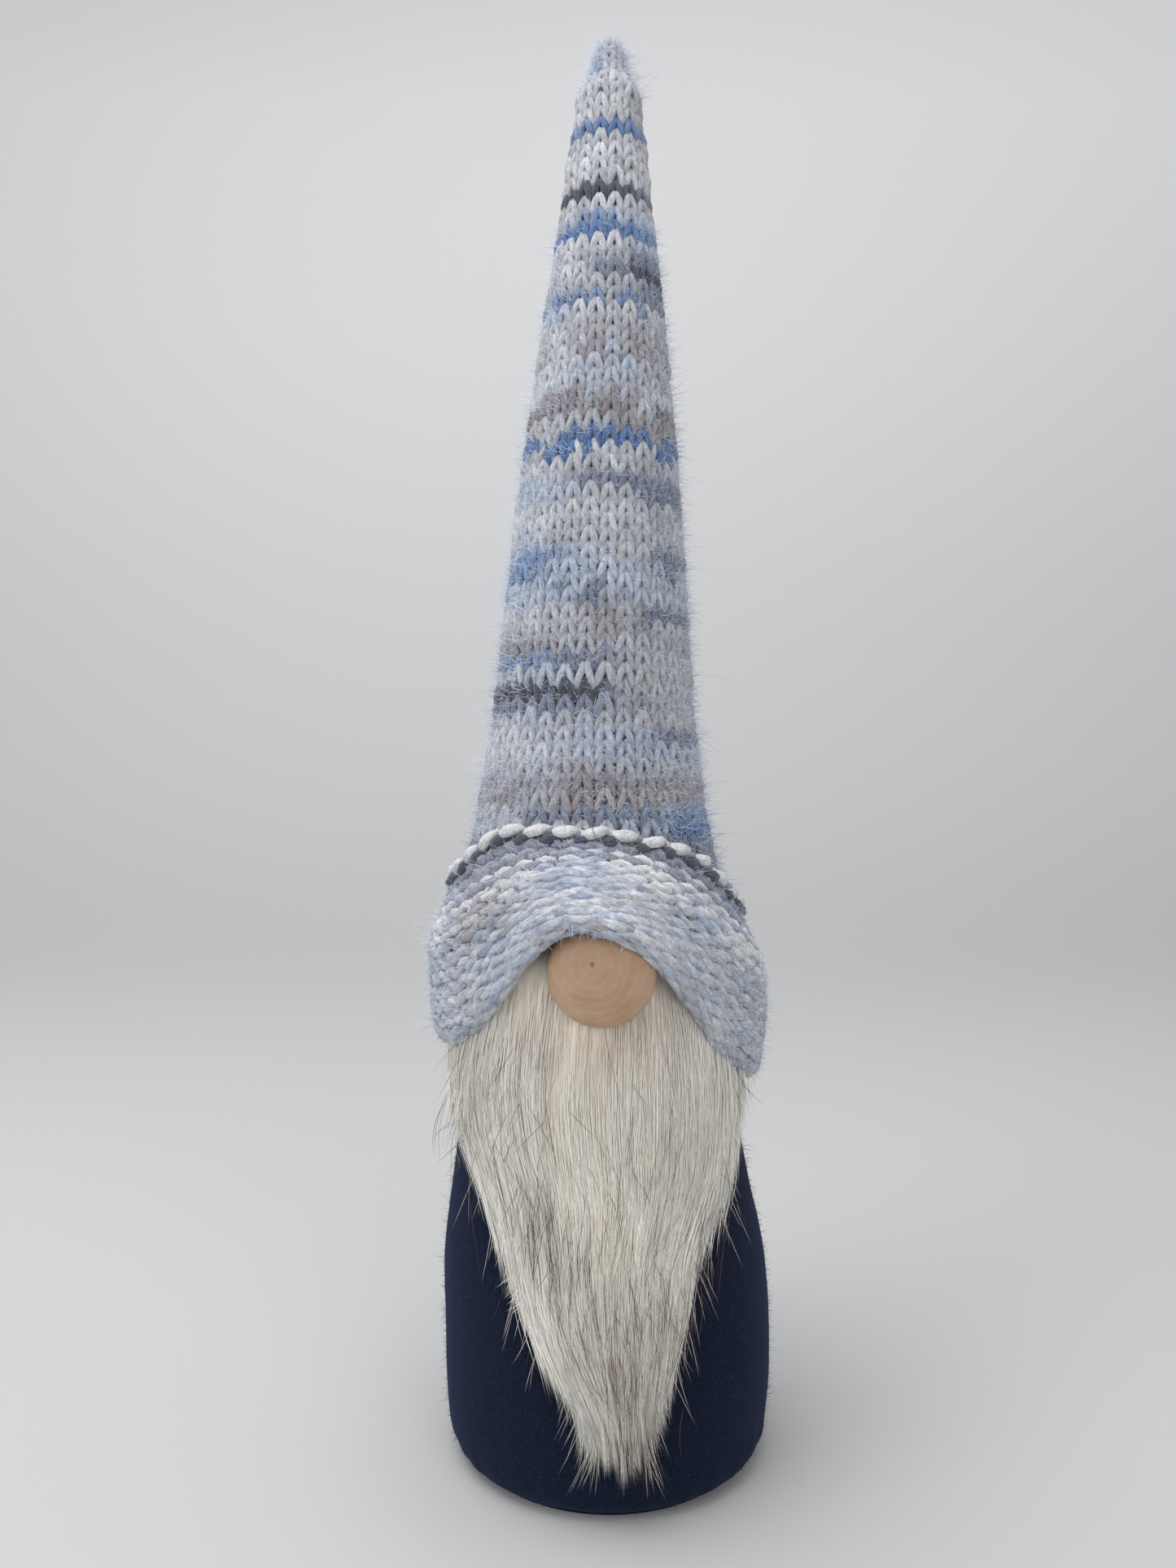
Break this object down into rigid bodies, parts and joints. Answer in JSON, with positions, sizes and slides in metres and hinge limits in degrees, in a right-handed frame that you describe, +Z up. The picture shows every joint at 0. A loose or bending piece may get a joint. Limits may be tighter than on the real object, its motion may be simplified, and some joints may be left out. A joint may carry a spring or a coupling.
{
  "type": "tomte gnome figurine",
  "caption": "Standing cloth gnome with a weighted round body, wooden nose, long fur beard and a tall stuffed knitted hat with a turned-up cuff.",
  "frame": {"origin": "centre of the flat base panel, on the surface the figure stands on", "axes": "+Z up through the figure, -Y to the front where the nose and beard are, +X to the viewer's right when seen from the front"},
  "size_m": [0.0986, 0.1056, 0.408],
  "materials": {
    "navy_cloth": "brushed cotton flannel, matt",
    "base_stiffener": "plain greyboard",
    "sewing_thread": "polyester thread",
    "calico": "plain woven cotton",
    "ballast": "poly pellets",
    "rubber_band": "plain rubber",
    "fibrefill": "loose polyester fibre",
    "birch": "turned and sanded, unvarnished",
    "hot_glue": "set hot-melt glue",
    "fur_backing": "knitted fur backing",
    "fur_pile": "long cream pile with dark guard hairs",
    "striped_wool": "brushed self-striping aran yarn, stocking stitch",
    "white_wool": "brushed yarn",
    "charcoal_wool": "brushed yarn"
  },
  "bodies": {
    "torso": {"body_sleeve": "navy_cloth", "base_panel": "navy_cloth", "base_seam": "sewing_thread", "base_board": "base_stiffener", "ballast_pouch": "calico", "ballast_pellets": "ballast", "ballast_tie": "sewing_thread", "body_stuffing": "fibrefill", "neck_band": "rubber_band", "nose_ball": "birch", "nose_glue": "hot_glue", "beard_glue": "hot_glue", "beard_backing_top": "fur_backing", "beard_pile_top": "fur_pile"},
    "hat": {"hat_cone": "striped_wool", "hat_cuff": "striped_wool", "cast_on_white": "white_wool", "cast_on_dark": "charcoal_wool", "tip_gather": "striped_wool", "hat_stuffing": "fibrefill"},
    "beard": {"beard_backing_flap": "fur_backing", "beard_pile_flap": "fur_pile"}
  },
  "joints": [
    {"name": "hat_lift", "type": "slide", "parent": "torso", "child": "hat", "axis": [0, 0, 1], "range_m": [0, 0.11]},
    {"name": "beard_lift", "type": "hinge", "parent": "torso", "child": "beard", "pos_m": [0, -0.0402, 0.117], "axis": [-1, 0, 0], "range_deg": [0, 60]}
  ]
}
